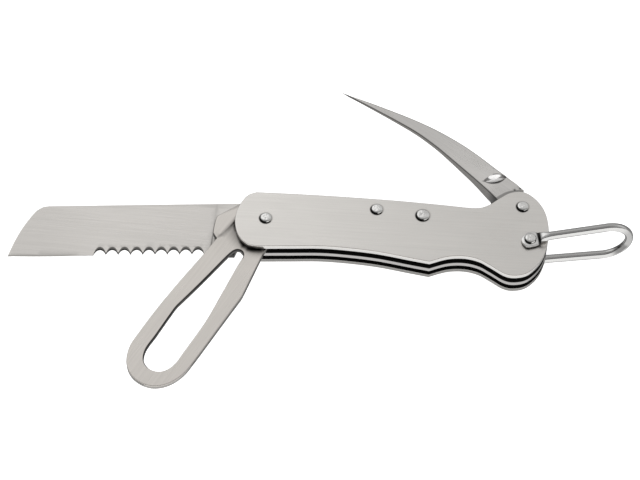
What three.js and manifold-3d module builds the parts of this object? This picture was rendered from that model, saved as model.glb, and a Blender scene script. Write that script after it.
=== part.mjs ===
// A folding rigging knife in stainless steel: a part-serrated sheepsfoot blade and a shackle key on
// one pivot, a marlinspike on another, and a wire bail. Two scales and a centre liner, riveted
// together, make two slots. The blade folds into the rear slot and the key into the front one.
//
// Millimetres. X runs along the handle towards the bail, Y towards the back of the handle, and Z from
// the rear scale to the front scale. The origin is on the rear scale's outer face, halfway along.

import * as THREE from 'three';
import { mergeVertices } from 'three/addons/utils/BufferGeometryUtils.js';
import Module from 'manifold-3d';

const wasm = await Module();
wasm.setup();

// ---------------------------------------------------------------- driving dimensions

const PLATE = 1.8; // thickness of a scale and of the liner
const BLADE_SLOT = 2.1; // width of the rear slot
const KEY_SLOT = 2.4; // width of the front slot
const RUNNING_GAP = 0.1; // between a moving leaf and a plate
const RIVETED_GAP = 0.05; // between pieces that are riveted tight

// Each layer as [low z, high z], from the rear scale forwards
const REAR_SCALE_Z = [0, PLATE];
const BLADE_SLOT_Z = [PLATE, PLATE + BLADE_SLOT];
const LINER_Z = [BLADE_SLOT_Z[1], BLADE_SLOT_Z[1] + PLATE];
const KEY_SLOT_Z = [LINER_Z[1], LINER_Z[1] + KEY_SLOT];
const FRONT_SCALE_Z = [KEY_SLOT_Z[1], KEY_SLOT_Z[1] + PLATE];
const HANDLE_THICKNESS = FRONT_SCALE_Z[1];
const MID_Z = HANDLE_THICKNESS / 2;

// Rivet centres on the handle
const BLADE_PIVOT = new THREE.Vector2(-43.5, 0);
const FIRST_SPRING_PIN = new THREE.Vector2(-5.7, 7.5);
const SECOND_SPRING_PIN = new THREE.Vector2(10.3, 6.6);
const SPIKE_PIVOT = new THREE.Vector2(44.4, 13.7);
const BAIL_PIVOT = new THREE.Vector2(47.6, -0.3);

const SHANK_RADIUS = 1.25;
const TIGHT_HOLE_RADIUS = 1.3;
const RUNNING_HOLE_RADIUS = 1.35;
const RIVET_HEAD_RADIUS = 2.05;
const LARGE_HEAD_RADIUS = 2.35;
const RIVET_HEAD_HEIGHT = 0.9;
const SPACER_RADIUS = 2.6;

// Directions of the leaves in the open position, in degrees from +X
const KEY_ANGLE = 243.8;
const SPIKE_ANGLE = 145;
const BAIL_ANGLE = 13.5;

const TANG_RADIUS = 8.8; // round tang of the blade and the key
const SHOULDER = new THREE.Vector2(-5.25, 10); // where the tang shoulders meet the spring end, from the pivot

const TOOTH_COUNT = 9;
const FIRST_TOOTH = new THREE.Vector2(-58, -16.7);
const LAST_TOOTH = new THREE.Vector2(-20.1, -12.6);
const GRIND_START_X = -18; // the hollow of the grind stops here, short of the pivot
const EDGE_THICKNESS = 0.35;

const SPIKE_TANG_RADIUS = 6.3;
const SPIKE_KICK_RADIUS = 8.4;
const SPIKE_LENGTH = 81.8;

const WIRE_RADIUS = 1.45;
const BAIL_START = new THREE.Vector2(4, 7.1); // where an arm leaves its eye: out from the rivet, and from mid-thickness
const BAIL_BEND = new THREE.Vector2(26.8, 8.3); // where the arms meet the round end
const BAIL_OFFSET = -0.3; // the wire runs this far below the rivet
const EYE_THICKNESS = 1.2;

const ROUND_SIDES = 24;
const WIRE_SIDES = 12;

// ---------------------------------------------------------------- shape helpers

const points = (pairs) => pairs.map(([x, y]) => new THREE.Vector2(x, y));

// Points along one smooth curve through the given ones
function curve(pairs, stepsPerSpan = 4) {
  const spline = new THREE.SplineCurve(points(pairs));
  return spline.getPoints(stepsPerSpan * (pairs.length - 1));
}

// Points along an arc, from one polar angle to another, in degrees
function arc(center, radius, from, to, steps) {
  const result = [];
  for (let i = 0; i <= steps; i++) {
    const angle = THREE.MathUtils.degToRad(from + ((to - from) * i) / steps);
    result.push(new THREE.Vector2(Math.cos(angle), Math.sin(angle)).multiplyScalar(radius).add(center));
  }
  return result;
}

function polar(radius, degrees) {
  const angle = THREE.MathUtils.degToRad(degrees);
  return new THREE.Vector2(radius * Math.cos(angle), radius * Math.sin(angle));
}

function circle(center, radius, sides = ROUND_SIDES) {
  return arc(center, radius, 0, 360, sides).slice(0, -1);
}

// A plate with the given outline and holes, between two heights
function plate(outline, holes, [low, high]) {
  const shape = new THREE.Shape(outline);
  shape.holes = holes.map((hole) => new THREE.Path(hole));
  const geometry = new THREE.ExtrudeGeometry(shape, { depth: high - low, bevelEnabled: false });
  return geometry.translate(0, 0, low);
}

// A slot's height range, less the gap on each side
const inside = ([low, high], gap) => [low + gap, high - gap];

function toSolid(geometry) {
  const bare = geometry.clone();
  bare.deleteAttribute('normal');
  bare.deleteAttribute('uv');
  const merged = mergeVertices(bare, 1e-4);
  return new wasm.Manifold(
    new wasm.Mesh({
      numProp: 3,
      vertProperties: new Float32Array(merged.attributes.position.array),
      triVerts: new Uint32Array(merged.index.array),
    })
  );
}

function toGeometry(solid) {
  const mesh = solid.getMesh();
  const geometry = new THREE.BufferGeometry();
  geometry.setAttribute('position', new THREE.BufferAttribute(new Float32Array(mesh.vertProperties), 3));
  geometry.setIndex(new THREE.BufferAttribute(new Uint32Array(mesh.triVerts), 1));
  geometry.computeVertexNormals();
  return geometry;
}

// ---------------------------------------------------------------- outlines

// The scales: straight back, hump over the spike pivot, round bail end, belly with one sharp corner
function scaleOutline() {
  const backAndBailEnd = curve([
    [-48, 10.7],
    [-34.5, 11.3],
    [-19.5, 11.75],
    [0.5, 12],
    [16.5, 11.8],
    [27.5, 11.6],
    [32.1, 13],
    [36.3, 16.6],
    [39.9, 19.3],
    [44.2, 20.1],
    [48, 18.1],
    [51.2, 14.3],
    [53.1, 9.5],
    [53.9, 3.4],
    [53.2, -3.4],
    [51.2, -9],
    [47.6, -13.4],
    [43.4, -15],
    [39.6, -14.6],
    [34.7, -11.8],
    [30.6, -9.7],
    [25.6, -8.9],
    [20, -9.7],
    [14, -12.3],
  ]);
  const bellyAndBladeEnd = curve([
    [14, -12.3],
    [7.4, -11.5],
    [-3.5, -10.1],
    [-13.5, -9.6],
    [-23.5, -9.7],
    [-35.5, -10.9],
    [-45.3, -11.8],
    [-49.3, -10.9],
    [-52.2, -7.8],
    [-53.9, -2.8],
    [-53.8, 2.6],
    [-52.3, 6.8],
    [-50.6, 9.3],
    [-48, 10.7],
  ]);
  return [...backAndBailEnd, ...bellyAndBladeEnd.slice(1, -1)];
}

// The liner: the scales' outline, cut away round the tang of the spike
function linerOutline() {
  const cutOutRadius = 9.2;
  const cutOut = arc(SPIKE_PIVOT, cutOutRadius, 205, 313, 14);
  const beforeHump = scaleOutline().filter((p) => p.y > 10.9 && p.x < 24);
  const afterHump = scaleOutline().filter((p) => p.y < 6.9 || p.x < -48.2);
  return [...beforeHump, new THREE.Vector2(28.5, 10.8), ...cutOut, ...afterHump];
}

// A backspring: its top fills the back between two plates, and its ends press on the tangs
function springOutline() {
  const top = curve([
    [-48.5, 10.5],
    [-34.5, 11.2],
    [-19.5, 11.65],
    [0.5, 11.9],
    [16.5, 11.7],
    [23, 11.4],
  ]);
  const underSpikeTang = arc(SPIKE_PIVOT, SPIKE_TANG_RADIUS + 0.3, 212, 280, 8);
  const tip = curve([
    [46.4, 6.4],
    [46.2, 4.8],
    [44, 4.1],
  ]);
  const bottom = curve([
    [14, 4],
    [4, 4.5],
    [-5, 5.2],
    [-12.5, 6.2],
    [-19.5, 7.5],
    [-27.5, 9],
    [-34, 9.4],
  ]);
  const pressingEnd = new THREE.Vector2(-47.95, 9.4);
  return [...top, new THREE.Vector2(34.5, 10.3), ...underSpikeTang, ...tip, ...bottom, pressingEnd];
}

const shoulderAngle = THREE.MathUtils.radToDeg(SHOULDER.angle());

// One scalloped row of teeth: a half circle between each tooth tip and the next
function serrations() {
  const pitch = LAST_TOOTH.clone().sub(FIRST_TOOTH).divideScalar(TOOTH_COUNT);
  const slope = THREE.MathUtils.radToDeg(pitch.angle());
  const row = [];
  for (let i = 0; i < TOOTH_COUNT; i++) {
    const center = FIRST_TOOTH.clone().addScaledVector(pitch, i + 0.5);
    row.push(...arc(center, pitch.length() / 2, 180 + slope, slope, 8).slice(0, -1));
  }
  return [...row, LAST_TOOTH];
}

// The blade about its pivot, pointing along -X
function bladeOutline() {
  const spineEnd = new THREE.Vector2(-76.5, 1.6);
  const point = curve([
    [-78.4, 1.1],
    [-80.8, -1.1],
    [-83.6, -6.7],
    [-85.9, -13.4],
    [-87.4, -20.2],
  ]);
  const plainEdge = curve([
    [-85.5, -19.9],
    [-78.6, -19.3],
    [-69, -18.2],
  ]);
  const kick = points([
    [-18.3, -12],
    [-12.2, -12.4],
    [-9.7, -12.2],
    [-8.9, -9.4],
  ]);
  const tang = arc(new THREE.Vector2(), TANG_RADIUS, 238, 360 + shoulderAngle, 22);
  return [SHOULDER, spineEnd, ...point, ...plainEdge, ...serrations(), ...kick, ...tang];
}

// The key about its pivot, pointing along +X
function keyOutline() {
  const turn = THREE.MathUtils.degToRad(-KEY_ANGLE);
  const shoulder = SHOULDER.clone().rotateAround(new THREE.Vector2(), turn);
  const tang = arc(new THREE.Vector2(), TANG_RADIUS, 50, 360 + shoulderAngle - KEY_ANGLE, 20);
  const nose = curve([
    [6.4, -15.3],
    [7.4, -15.5],
    [10.3, -14.5],
    [13.3, -13.1],
    [13.9, -12.5],
    [14.9, -10.6],
  ]);
  const loop = curve([
    [15.6, -10.65],
    [22.2, -10.8],
    [29, -11.2],
    [38, -11.7],
    [50, -12],
    [60, -11.8],
    [66.3, -11.3],
    [71.7, -8.9],
    [75, -5],
    [76, -0.4],
    [74.9, 4.2],
    [71.3, 7.9],
    [66, 9.9],
    [59, 10.2],
    [46, 10],
    [36, 9.85],
    [31, 9.7],
    [23.9, 8.6],
    [15.4, 7],
    [11, 6.2],
  ]);
  return [shoulder, ...nose, ...loop, ...tang];
}

// The key's tear-shaped slot
function keySlot() {
  return curve([
    [14.5, -1],
    [15, -2.2],
    [16.8, -3.1],
    [21.5, -3.75],
    [33, -5.1],
    [44, -6.55],
    [50, -6.6],
    [58, -6.25],
    [64.3, -6],
    [68.4, -4.1],
    [70, -0.5],
    [68.7, 3.2],
    [64.5, 5.2],
    [58, 5.2],
    [45, 4.8],
    [33, 3.3],
    [20.8, 1.7],
    [16.5, 1.2],
    [14.9, 0.2],
    [14.5, -1],
  ]).slice(0, -1);
}

// The spike about its pivot, pointing along +X, with its convex side towards -Y
function spikeOutline() {
  const convex = curve([
    [8, -7.35],
    [17.4, -8.25],
    [25, -9.1],
    [34, -9.5],
    [44, -8.85],
    [53.5, -7.3],
    [62.5, -5.2],
    [71.5, -2.85],
    [79.5, -0.5],
    [SPIKE_LENGTH, 0],
  ]);
  const concave = curve([
    [79.5, -0.1],
    [70, -1.25],
    [60, -2.3],
    [50, -3],
    [41, -2.7],
    [33, -1.75],
    [21.3, -0.05],
    [15, 1.15],
    [9.3, 2.2],
  ]);
  const kickAngle = -55.7;
  const kick = polar(SPIKE_KICK_RADIUS, kickAngle);
  const tang = arc(new THREE.Vector2(), SPIKE_TANG_RADIUS, 30, 360 + kickAngle, 20);
  return [kick, ...convex, ...concave, ...tang];
}

// ---------------------------------------------------------------- sub-parts

const handlePins = [BLADE_PIVOT, FIRST_SPRING_PIN, SECOND_SPRING_PIN, SPIKE_PIVOT, BAIL_PIVOT];
const holesAt = (centers, radius) => centers.map((center) => circle(center, radius));

// The flat middle of each scale is a rectangle of its own, clear of the rivet heads
function scale(layer) {
  const middle = points([
    [-16, -8],
    [16, -8],
    [16, 3],
    [-16, 3],
  ]);
  const rim = plate(scaleOutline(), [...holesAt(handlePins, TIGHT_HOLE_RADIUS), middle], layer);
  return toGeometry(toSolid(rim).add(toSolid(plate(middle, [], layer))));
}

function liner() {
  const pins = handlePins.filter((pin) => pin !== SPIKE_PIVOT);
  return plate(linerOutline(), holesAt(pins, TIGHT_HOLE_RADIUS), inside(LINER_Z, RIVETED_GAP));
}

function backspring(slot) {
  const pins = [FIRST_SPRING_PIN, SECOND_SPRING_PIN];
  return plate(springOutline(), holesAt(pins, TIGHT_HOLE_RADIUS), inside(slot, RIVETED_GAP));
}

function spacer(slot) {
  return plate(circle(BAIL_PIVOT, SPACER_RADIUS), holesAt([BAIL_PIVOT], TIGHT_HOLE_RADIUS), inside(slot, RIVETED_GAP));
}

// A flat plate, ground to a thin edge from both sides
function blade() {
  const layer = inside(BLADE_SLOT_Z, RUNNING_GAP);
  const hole = circle(new THREE.Vector2(), RUNNING_HOLE_RADIUS);
  const blank = toSolid(plate(bladeOutline(), [hole], layer));
  const middle = (layer[0] + layer[1]) / 2;
  const spineY = 9;
  const edgeY = -21;
  const reach = 75;
  const grind = (side) => {
    const section = points([
      [spineY, middle + (side * (layer[1] - layer[0])) / 2],
      [edgeY, middle + (side * EDGE_THICKNESS) / 2],
      [edgeY, middle + side * PLATE],
      [spineY, middle + side * PLATE],
    ]);
    const prism = new THREE.ExtrudeGeometry(new THREE.Shape(section), { depth: reach, bevelEnabled: false });
    prism.applyMatrix4(new THREE.Matrix4().set(0, 0, 1, GRIND_START_X - reach, 1, 0, 0, 0, 0, 1, 0, 0, 0, 0, 0, 1));
    return toSolid(prism);
  };
  return toGeometry(blank.subtract(grind(1)).subtract(grind(-1)));
}

function shackleKey() {
  const hole = circle(new THREE.Vector2(), RUNNING_HOLE_RADIUS);
  return plate(keyOutline(), [hole, keySlot()], inside(KEY_SLOT_Z, RUNNING_GAP));
}

// The side view of the spike, thinned by a second outline that tapers towards the tip
function marlinspike() {
  const [low, high] = [BLADE_SLOT_Z[0] + RUNNING_GAP, KEY_SLOT_Z[1] - RUNNING_GAP];
  const hole = circle(new THREE.Vector2(), RUNNING_HOLE_RADIUS);
  const sideView = toSolid(plate(spikeOutline(), [hole], [low, high]));
  const halfRoot = (high - low) / 2 + RUNNING_GAP;
  const halfTaper = curve([
    [13, halfRoot],
    [21, 2.3],
    [28, 1.85],
    [37, 1.45],
    [50, 1.2],
    [62, 0.95],
    [SPIKE_LENGTH + 1, 0.3],
  ]);
  const mirrored = halfTaper.map((p) => new THREE.Vector2(p.x, -p.y)).reverse();
  const root = points([
    [-SPIKE_KICK_RADIUS - 1, -halfRoot],
    [-SPIKE_KICK_RADIUS - 1, halfRoot],
  ]);
  const depth = 30;
  const topView = new THREE.ExtrudeGeometry(new THREE.Shape([...halfTaper, ...mirrored, ...root]), {
    depth,
    bevelEnabled: false,
  });
  topView.rotateX(Math.PI / 2).translate(0, depth / 2, (low + high) / 2);
  return toGeometry(sideView.intersect(toSolid(topView)));
}

// The bail's U: out along one arm, round a half circle, and back along the other arm
class BailPath extends THREE.Curve {
  getPoint(t, target = new THREE.Vector3()) {
    const arm = BAIL_BEND.distanceTo(BAIL_START);
    const bend = Math.PI * BAIL_BEND.y;
    const s = t * (2 * arm + bend);
    const fromEnd = Math.min(s, 2 * arm + bend - s);
    if (fromEnd < arm) {
      const along = BAIL_START.clone().lerp(BAIL_BEND, fromEnd / arm);
      return target.set(along.x, BAIL_OFFSET, s < arm ? along.y : -along.y);
    }
    const angle = (s - arm) / BAIL_BEND.y;
    return target.set(BAIL_BEND.x + BAIL_BEND.y * Math.sin(angle), BAIL_OFFSET, BAIL_BEND.y * Math.cos(angle));
  }
}

// The bail about its rivet, pointing along +X, with z = 0 at the middle of the handle
function bail() {
  const section = new THREE.Shape(circle(new THREE.Vector2(), WIRE_RADIUS, WIRE_SIDES));
  const wire = new THREE.ExtrudeGeometry(section, { steps: 44, extrudePath: new BailPath() });
  const eye = points([
    [-2.9, -1.6],
    [-2, -3.1],
    [1.2, -3.1],
    [3.2, -2.1],
    [6, -1.6],
    [6, 1],
    [3.2, 2],
    [0.8, 3],
    [-0.8, 2.7],
    [-3.1, 0.6],
  ]);
  const eyeLow = MID_Z + RUNNING_GAP;
  const hole = circle(new THREE.Vector2(), RUNNING_HOLE_RADIUS);
  const frontEye = plate(eye, [hole], [eyeLow, eyeLow + EYE_THICKNESS]);
  const rearEye = plate(eye, [hole], [-eyeLow - EYE_THICKNESS, -eyeLow]);
  return toGeometry(toSolid(wire).add(toSolid(frontEye)).add(toSolid(rearEye)));
}

// A rivet with a domed head at each end, its heads lying on faces at the given heights
function rivet([low, high], headRadius = RIVET_HEAD_RADIUS) {
  const domeSteps = 6;
  const dome = [];
  for (let i = 0; i <= domeSteps; i++) {
    const angle = (Math.PI / 2) * (i / domeSteps);
    dome.push(new THREE.Vector2(headRadius * Math.cos(angle), RIVET_HEAD_HEIGHT * Math.sin(angle)));
  }
  const top = dome.map((p) => new THREE.Vector2(Math.max(p.x, 0), high + RIVETED_GAP + p.y));
  top[domeSteps].x = 0;
  const bottom = dome.map((p) => new THREE.Vector2(p.x, low - RIVETED_GAP - p.y)).reverse();
  bottom[0].x = 0;
  const shank = points([
    [SHANK_RADIUS, low - RIVETED_GAP],
    [SHANK_RADIUS, high + RIVETED_GAP],
  ]);
  return new THREE.LatheGeometry([...bottom, ...shank, ...top], ROUND_SIDES).rotateX(Math.PI / 2);
}

// ---------------------------------------------------------------- materials

const steel = (color, roughness) => new THREE.MeshStandardMaterial({ color, roughness, metalness: 1 });
const satinSteel = steel(0xc9c6c1, 0.36);
const bladeSteel = steel(0xcbc8c4, 0.32);
const keySteel = steel(0xc4bfb8, 0.34);
const spikeSteel = steel(0xbdb9b3, 0.28);
const springSteel = steel(0x9a9894, 0.42);
const polishedSteel = steel(0xd2d1cf, 0.16);

// ---------------------------------------------------------------- assembly

const knife = new THREE.Group();

function addPiece(name, geometry, material, parent = knife) {
  const mesh = new THREE.Mesh(geometry, material);
  mesh.name = name;
  parent.add(mesh);
}

function addLeafGroup(pivot, degrees, z = 0) {
  const group = new THREE.Group();
  group.position.set(pivot.x, pivot.y, z);
  group.rotation.z = THREE.MathUtils.degToRad(degrees);
  knife.add(group);
  return group;
}

function addRivet(name, pivot, faces, headRadius) {
  addPiece(name, rivet(faces, headRadius).translate(pivot.x, pivot.y, 0), polishedSteel);
}

addPiece('rear_scale', scale(REAR_SCALE_Z), satinSteel);
addPiece('center_liner', liner(), springSteel);
addPiece('front_scale', scale(FRONT_SCALE_Z), satinSteel);
addPiece('blade_backspring', backspring(BLADE_SLOT_Z), springSteel);
addPiece('key_backspring', backspring(KEY_SLOT_Z), springSteel);
addPiece('blade_slot_spacer', spacer(BLADE_SLOT_Z), springSteel);
addPiece('key_slot_spacer', spacer(KEY_SLOT_Z), springSteel);

addPiece('blade', blade(), bladeSteel, addLeafGroup(BLADE_PIVOT, 0));
addPiece('shackle_key', shackleKey(), keySteel, addLeafGroup(BLADE_PIVOT, KEY_ANGLE));
addPiece('marlinspike', marlinspike(), spikeSteel, addLeafGroup(SPIKE_PIVOT, SPIKE_ANGLE));
addPiece('bail', bail(), polishedSteel, addLeafGroup(BAIL_PIVOT, BAIL_ANGLE, MID_Z));

const scaleFaces = [0, HANDLE_THICKNESS];
const eyeReach = RUNNING_GAP + EYE_THICKNESS + RIVETED_GAP;
addRivet('blade_pivot_rivet', BLADE_PIVOT, scaleFaces);
addRivet('front_spring_rivet', FIRST_SPRING_PIN, scaleFaces);
addRivet('rear_spring_rivet', SECOND_SPRING_PIN, scaleFaces, LARGE_HEAD_RADIUS);
addRivet('spike_pivot_rivet', SPIKE_PIVOT, scaleFaces);
addRivet('bail_rivet', BAIL_PIVOT, [-eyeReach, HANDLE_THICKNESS + eyeReach]);

export default knife;
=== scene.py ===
"""Looks of a folding rigging knife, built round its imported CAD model.

Lengths are in millimetres, and become metres when a mesh is made. Only the last section's are in metres.
The handle's frame is the CAD's: X along the handle towards the bail, Y towards its back, Z from the rear
scale to the front one.
"""

import math

import bmesh
import bpy
import numpy as np
from mathutils import Matrix, Vector, noise
from mathutils.geometry import delaunay_2d_cdt


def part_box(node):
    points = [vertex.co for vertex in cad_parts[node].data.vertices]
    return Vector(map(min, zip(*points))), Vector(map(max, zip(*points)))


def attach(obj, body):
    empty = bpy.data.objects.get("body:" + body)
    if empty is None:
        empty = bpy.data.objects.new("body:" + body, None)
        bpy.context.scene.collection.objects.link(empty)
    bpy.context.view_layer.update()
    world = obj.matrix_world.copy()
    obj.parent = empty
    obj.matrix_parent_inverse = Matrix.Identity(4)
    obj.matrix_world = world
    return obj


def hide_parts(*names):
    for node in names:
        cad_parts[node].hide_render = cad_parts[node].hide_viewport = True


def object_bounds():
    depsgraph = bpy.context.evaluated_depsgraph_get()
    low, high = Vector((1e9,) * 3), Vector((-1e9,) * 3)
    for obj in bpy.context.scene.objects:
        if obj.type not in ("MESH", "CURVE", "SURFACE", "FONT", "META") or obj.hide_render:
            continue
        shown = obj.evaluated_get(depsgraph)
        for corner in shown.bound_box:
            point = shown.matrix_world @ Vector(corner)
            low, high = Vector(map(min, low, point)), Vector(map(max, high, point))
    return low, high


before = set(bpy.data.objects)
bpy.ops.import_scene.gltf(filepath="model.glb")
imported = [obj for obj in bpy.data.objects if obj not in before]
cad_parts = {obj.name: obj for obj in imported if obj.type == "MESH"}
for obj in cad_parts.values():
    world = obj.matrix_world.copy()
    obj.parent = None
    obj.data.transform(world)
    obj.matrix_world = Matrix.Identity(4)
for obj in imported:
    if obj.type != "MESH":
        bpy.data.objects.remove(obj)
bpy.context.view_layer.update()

MM = 0.001

# ---------------------------------------------------------------- what the CAD says


def layer(node):
    """A node's lowest and highest z."""
    low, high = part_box(node)
    return low.z / MM, high.z / MM


def center(node):
    """The middle of a node's box, seen from the front."""
    low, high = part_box(node)
    return np.array([(low.x + high.x) / 2, (low.y + high.y) / 2]) / MM


def head_radius(rivet):
    low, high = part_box(rivet)
    return (high.x - low.x) / 2 / MM


RIVETS = [
    "blade_pivot_rivet",
    "front_spring_rivet",
    "rear_spring_rivet",
    "spike_pivot_rivet",
    "bail_rivet",
]
PINS = [center(name) for name in RIVETS]
BLADE_PIVOT = PINS[0]
SPRING_PINS = PINS[1:3]
SPIKE_PIVOT = PINS[3]
BAIL_PIVOT = PINS[4]
MID_Z = sum(layer("blade_pivot_rivet")) / 2

# Directions of the leaves at rest, in degrees from +X
KEY_ANGLE = 243.8
SPIKE_ANGLE = 145
BAIL_ANGLE = 13.5

# Radii of the rivets' holes
TIGHT_HOLE = 1.3
RUNNING_HOLE = 1.35

# The tang that the blade and the key share, about their pivot
TANG_RADIUS = 8.8
SHOULDER = (-5.25, 10)

# ---------------------------------------------------------------- small helpers


def smooth(value, low, high):
    """0 below low, 1 above high, with an even turn between them."""
    t = np.clip((value - low) / (high - low), 0, 1)
    return t * t * (3 - 2 * t)


def fade(value, low, high):
    """1 below low, 0 above high."""
    return 1 - smooth(value, low, high)


def line_through(points):
    """A function that gives the y of a line of points at any x. The points run towards +X."""
    xs, ys = np.array(points, float).T
    return lambda x: np.interp(x, xs, ys)


def polar_angle(point):
    return math.degrees(math.atan2(point[1], point[0]))


def turned(points, degrees, shift=(0, 0)):
    """The points turned about the origin, then moved."""
    c, s = math.cos(math.radians(degrees)), math.sin(math.radians(degrees))
    return np.array(points, float) @ np.array([[c, s], [-s, c]]) + np.array(shift)


def unturned(x, y, degrees, shift):
    """Where handle points lie in a leaf's own frame."""
    own = (np.column_stack([x, y]) - np.array(shift)) @ turned(np.eye(2), degrees).T
    return own[:, 0], own[:, 1]


def move(x, y, z=0.0):
    return Matrix.Translation((x * MM, y * MM, z * MM))


def lower_left(x, y):
    """1 towards the lower left of a centre, 0 towards its upper right."""
    return (1 - (x + y) / math.sqrt(2) / np.maximum(np.hypot(x, y), 1e-6)) / 2


# ---------------------------------------------------------------- outlines

SAME_POINT = 1e-4


def curve(points, steps=8):
    """Points on a smooth curve through the given ones."""
    result = []
    last = len(points) - 1
    for i in range(last):
        before, start, end, after = (
            np.array(points[min(max(k, 0), last)], float) for k in (i - 1, i, i + 1, i + 2)
        )
        leave = (end - before) / 2
        arrive = (after - start) / 2
        for step in range(steps):
            t = step / steps
            cubic = 2 * start - 2 * end + leave + arrive
            square = 3 * end - 3 * start - 2 * leave - arrive
            result.append(cubic * t**3 + square * t**2 + leave * t + start)
    result.append(np.array(points[last], float))
    return result


def arc(middle, radius, start, end, steps):
    """Points on an arc, from one polar angle to another, in degrees."""
    angles = np.radians(np.linspace(start, end, steps + 1))
    return [np.array(middle) + radius * np.array([math.cos(a), math.sin(a)]) for a in angles]


def circle(middle, radius, sides=64):
    return np.array(arc(middle, radius, 0, 360, sides)[:-1])


def loop(*parts):
    """One closed outline from lists of points, without repeats."""
    joined = []
    for part in parts:
        for point in part:
            if not joined or np.linalg.norm(point - joined[-1]) > SAME_POINT:
                joined.append(np.array(point, float))
    if np.linalg.norm(joined[0] - joined[-1]) < SAME_POINT:
        joined.pop()
    return np.array(joined)


def scale_outline():
    back_and_bail_end = [
        (-48, 10.7), (-34.5, 11.3), (-19.5, 11.75), (0.5, 12), (16.5, 11.8), (27.5, 11.6),
        (32.1, 13), (36.3, 16.6), (39.9, 19.3), (44.2, 20.1), (48, 18.1), (51.2, 14.3),
        (53.1, 9.5), (53.9, 3.4), (53.2, -3.4), (51.2, -9), (47.6, -13.4), (43.4, -15),
        (39.6, -14.6), (34.7, -11.8), (30.6, -9.7), (25.6, -8.9), (20, -9.7), (14, -12.3),
    ]  # fmt: skip
    belly_and_blade_end = [
        (14, -12.3), (7.4, -11.5), (-3.5, -10.1), (-13.5, -9.6), (-23.5, -9.7), (-35.5, -10.9),
        (-45.3, -11.8), (-49.3, -10.9), (-52.2, -7.8), (-53.9, -2.8), (-53.8, 2.6), (-52.3, 6.8),
        (-50.6, 9.3), (-48, 10.7),
    ]  # fmt: skip
    return loop(curve(back_and_bail_end), curve(belly_and_blade_end))


SCALE_RIM = scale_outline()


def liner_outline():
    """The scales' outline, cut away round the tang of the spike."""
    hump = 60  # the number of a point of the rim where it's cut away
    cut_out = arc(SPIKE_PIVOT, 9.2, 205, 313, 40)
    before_hump = [p for p in SCALE_RIM[:hump] if p[1] > 10.9 and p[0] < 24]
    after_hump = [p for p in SCALE_RIM[hump:] if p[1] < 6.9 or p[0] < -48.2]
    return loop(before_hump, [(28.5, 10.8)], cut_out, after_hump)


def spring_outline():
    top = curve([(-48.5, 10.5), (-34.5, 11.2), (-19.5, 11.65), (0.5, 11.9), (16.5, 11.7), (23, 11.4)])
    under_tang = arc(SPIKE_PIVOT, 6.6, 212, 280, 24)
    tip = curve([(46.4, 6.4), (46.2, 4.8), (44, 4.1)])
    bottom = curve([(14, 4), (4, 4.5), (-5, 5.2), (-12.5, 6.2), (-19.5, 7.5), (-27.5, 9), (-34, 9.4)])
    return loop(top, [(34.5, 10.3)], under_tang, tip, bottom, [(-47.95, 9.4)])


TEETH = 9
FIRST_TOOTH = np.array([-58, -16.7])
LAST_TOOTH = np.array([-20.1, -12.6])
TOOTH_PITCH = (LAST_TOOTH - FIRST_TOOTH) / TEETH
TOOTH_SLOPE = polar_angle(TOOTH_PITCH)
TOOTH_TIPS = [FIRST_TOOTH + TOOTH_PITCH * i for i in range(1, TEETH)]
SCALLOP_RADIUS = np.linalg.norm(TOOTH_PITCH) / 2
SCALLOPS = [FIRST_TOOTH + TOOTH_PITCH * (i + 0.5) for i in range(TEETH)]
BEVEL_WIDTH = 1.25
SPINE_END = (-76.5, 1.6)
BLADE_POINT = (-87.4, -20.2)


def scallop_height(p, share):
    """How far above the tooth tips a scallop's bevel lies at p from its middle, at a share of its depth."""
    room = np.maximum(1 - (p / SCALLOP_RADIUS) ** 2, 0)
    edge = SCALLOP_RADIUS * room**0.8
    end = (SCALLOP_RADIUS + BEVEL_WIDTH) * room**0.6
    return end + (edge - end) * share


def scallop_line(middle, share, steps=20):
    """A line along a scallop's bevel from left to right. At share 1 it's the edge."""
    across = SCALLOP_RADIUS * np.cos(np.linspace(math.pi, 0, steps + 1))
    return turned(np.column_stack([across, scallop_height(across, share)]), TOOTH_SLOPE, middle)


def blade_outline():
    """The blade about its pivot, pointing along -X."""
    point = curve([(-78.4, 1.1), (-80.8, -1.1), (-83.6, -6.7), (-85.9, -13.4), BLADE_POINT])
    plain_edge = curve([(-85.5, -19.9), (-78.6, -19.3), (-69, -18.2)])
    scallops = [scallop_line(middle, 1) for middle in SCALLOPS]
    kick = [(-18.3, -12), (-12.2, -12.4), (-9.7, -12.2), (-8.9, -9.4)]
    tang = arc((0, 0), TANG_RADIUS, 238, 360 + polar_angle(SHOULDER), 60)
    return loop([SHOULDER, SPINE_END], point, plain_edge, *scallops, kick, tang)


def key_outline():
    """The key about its pivot, pointing along +X."""
    nose = curve([(6.4, -15.3), (7.4, -15.5), (10.3, -14.5), (13.3, -13.1), (13.9, -12.5), (14.9, -10.6)])
    round_the_loop = [
        (15.6, -10.65), (22.2, -10.8), (29, -11.2), (38, -11.7), (50, -12), (60, -11.8),
        (66.3, -11.3), (71.7, -8.9), (75, -5), (75.98, -0.4), (74.89, 4.19), (71.3, 7.9), (66, 9.9),
        (59, 10.2), (46, 10), (38, 9.87), (31, 9.8),
    ]  # fmt: skip
    flank = curve([(29.7, 9.68), (23.9, 8.6), (15.4, 7), (11, 6.2)])
    tang = arc((0, 0), TANG_RADIUS, 50, 360 + polar_angle(SHOULDER) - KEY_ANGLE, 60)
    return loop(turned([SHOULDER], -KEY_ANGLE), nose, curve(round_the_loop), flank, tang)


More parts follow.
